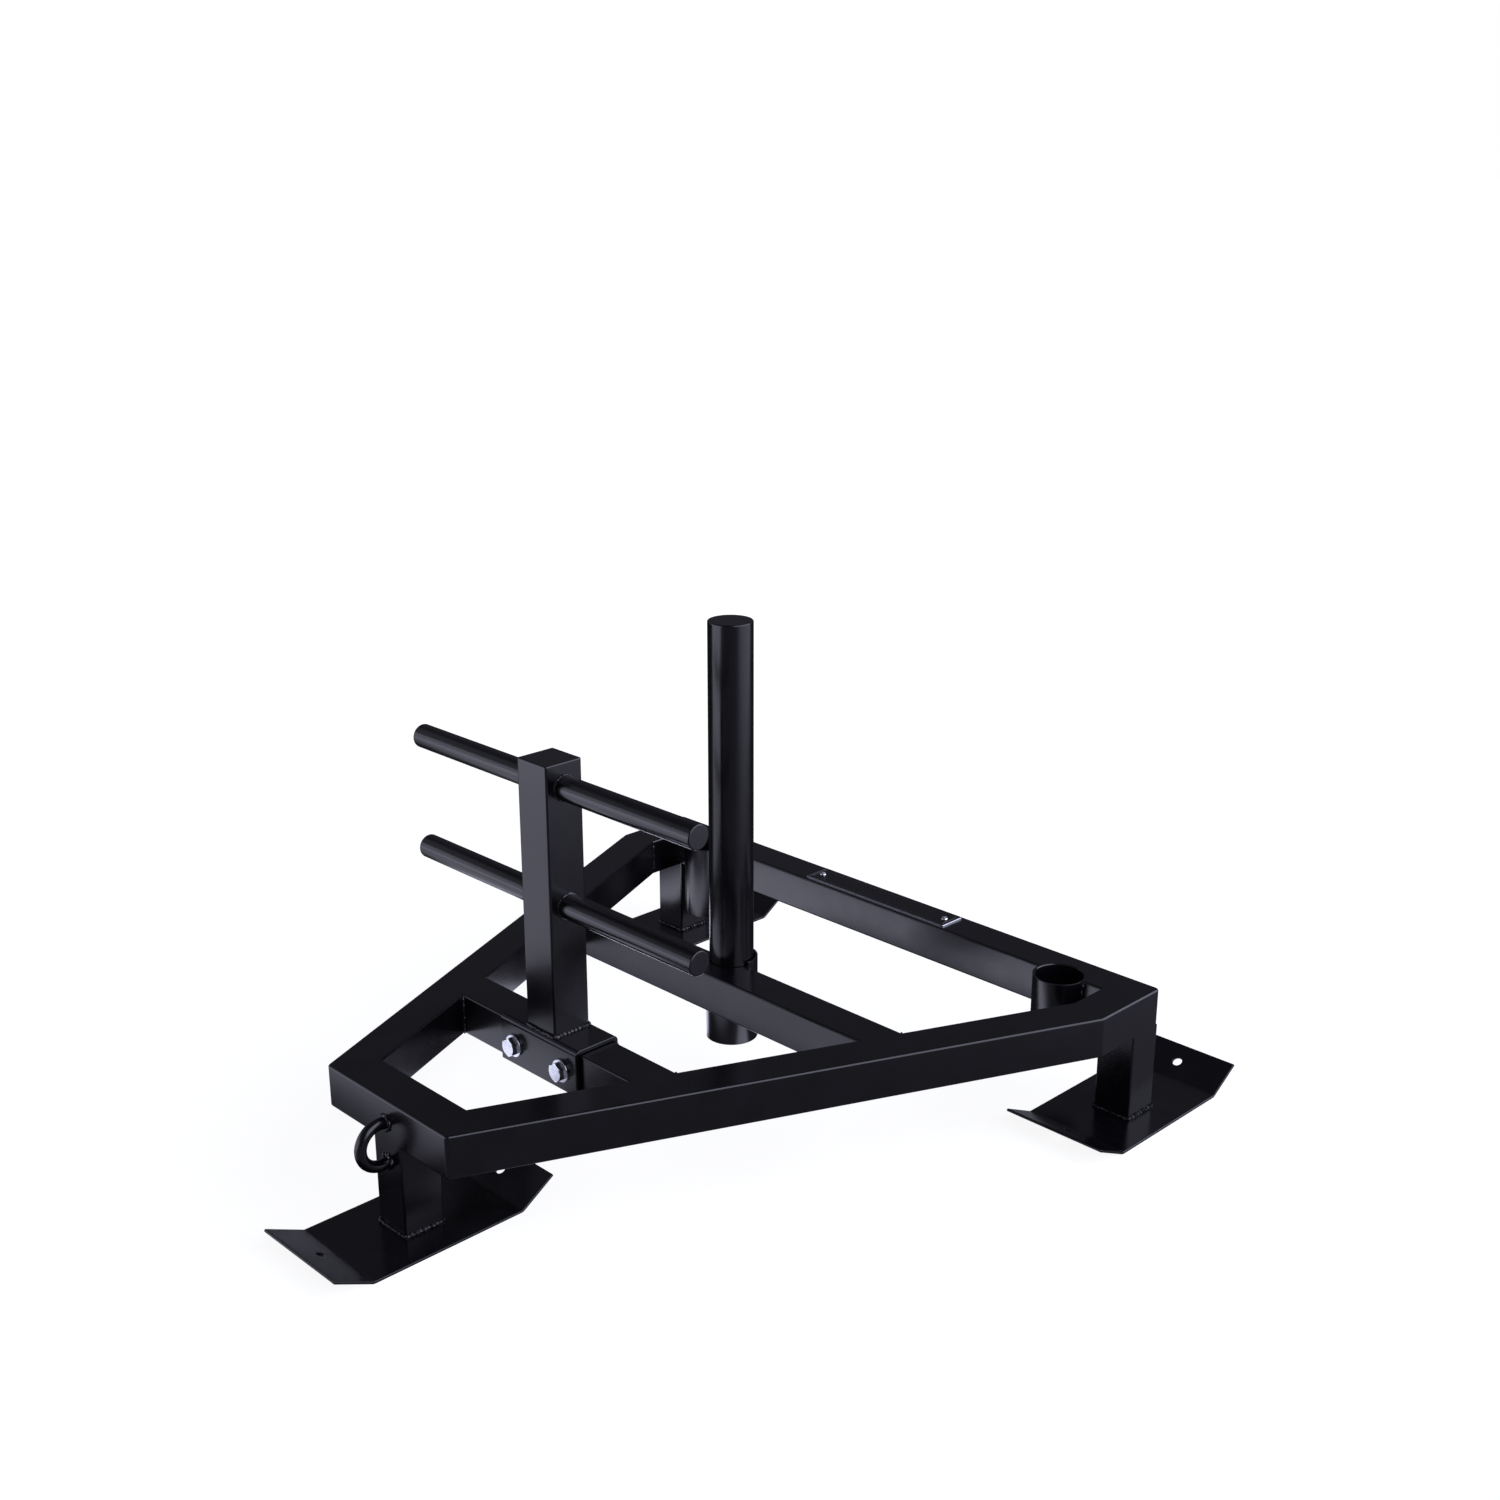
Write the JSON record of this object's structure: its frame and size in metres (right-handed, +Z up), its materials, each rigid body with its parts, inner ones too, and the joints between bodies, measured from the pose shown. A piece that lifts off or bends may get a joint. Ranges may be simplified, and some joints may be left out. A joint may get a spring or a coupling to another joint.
{
  "type": "push sled",
  "caption": "Low tapered tube-frame push sled on bent skis, with an upright weight post, a bolted mast with cross handles, pole sockets and a tow eye.",
  "frame": {"origin": "on the floor at the middle of the footprint, on the sled's centre line", "axes": "+X to the right when standing at the tow eye and looking along the sled, +Y from the tow eye towards the rear bar, +Z up"},
  "size_m": [0.825, 0.9424, 0.53],
  "materials": {
    "black_powder_coat": "satin black powder coat over welded steel",
    "bright_zinc": "bright zinc plate",
    "name_plate_finish": "black enamelled sheet with bright worn edges"
  },
  "bodies": {
    "sled": {"front_bar": "black_powder_coat", "right_side_rail": "black_powder_coat", "right_rear_rail": "black_powder_coat", "rear_bar": "black_powder_coat", "left_rear_rail": "black_powder_coat", "left_side_rail": "black_powder_coat", "middle_bar": "black_powder_coat", "mast_crossbar": "black_powder_coat", "front_leg": "black_powder_coat", "front_ski": "black_powder_coat", "left_rear_leg": "black_powder_coat", "left_rear_ski": "black_powder_coat", "right_rear_leg": "black_powder_coat", "right_rear_ski": "black_powder_coat", "weight_sleeve": "black_powder_coat", "weight_sleeve_floor": "black_powder_coat", "left_pole_sleeve": "black_powder_coat", "left_pole_sleeve_floor": "black_powder_coat", "right_pole_sleeve": "black_powder_coat", "right_pole_sleeve_floor": "black_powder_coat", "tow_eye": "black_powder_coat", "mast_saddle": "black_powder_coat", "mast": "black_powder_coat", "mast_cap": "black_powder_coat", "upper_handle": "black_powder_coat", "upper_handle_left_plug": "black_powder_coat", "upper_handle_right_plug": "black_powder_coat", "lower_handle": "black_powder_coat", "lower_handle_left_plug": "black_powder_coat", "lower_handle_right_plug": "black_powder_coat", "left_saddle_bolt": "bright_zinc", "left_bolt_front_washer": "bright_zinc", "left_bolt_rear_washer": "bright_zinc", "left_bolt_nut": "bright_zinc", "left_plate_rivet": "bright_zinc", "right_saddle_bolt": "bright_zinc", "right_bolt_front_washer": "bright_zinc", "right_bolt_rear_washer": "bright_zinc", "right_bolt_nut": "bright_zinc", "right_plate_rivet": "bright_zinc", "name_plate": "name_plate_finish"},
    "post": {"weight_post": "black_powder_coat", "weight_post_cap": "black_powder_coat", "weight_post_foot": "black_powder_coat"}
  },
  "joints": [
    {"name": "weight_post_lift", "type": "slide", "parent": "sled", "child": "post", "axis": [0, 0, 1], "range_m": [0, 0.11]}
  ]
}
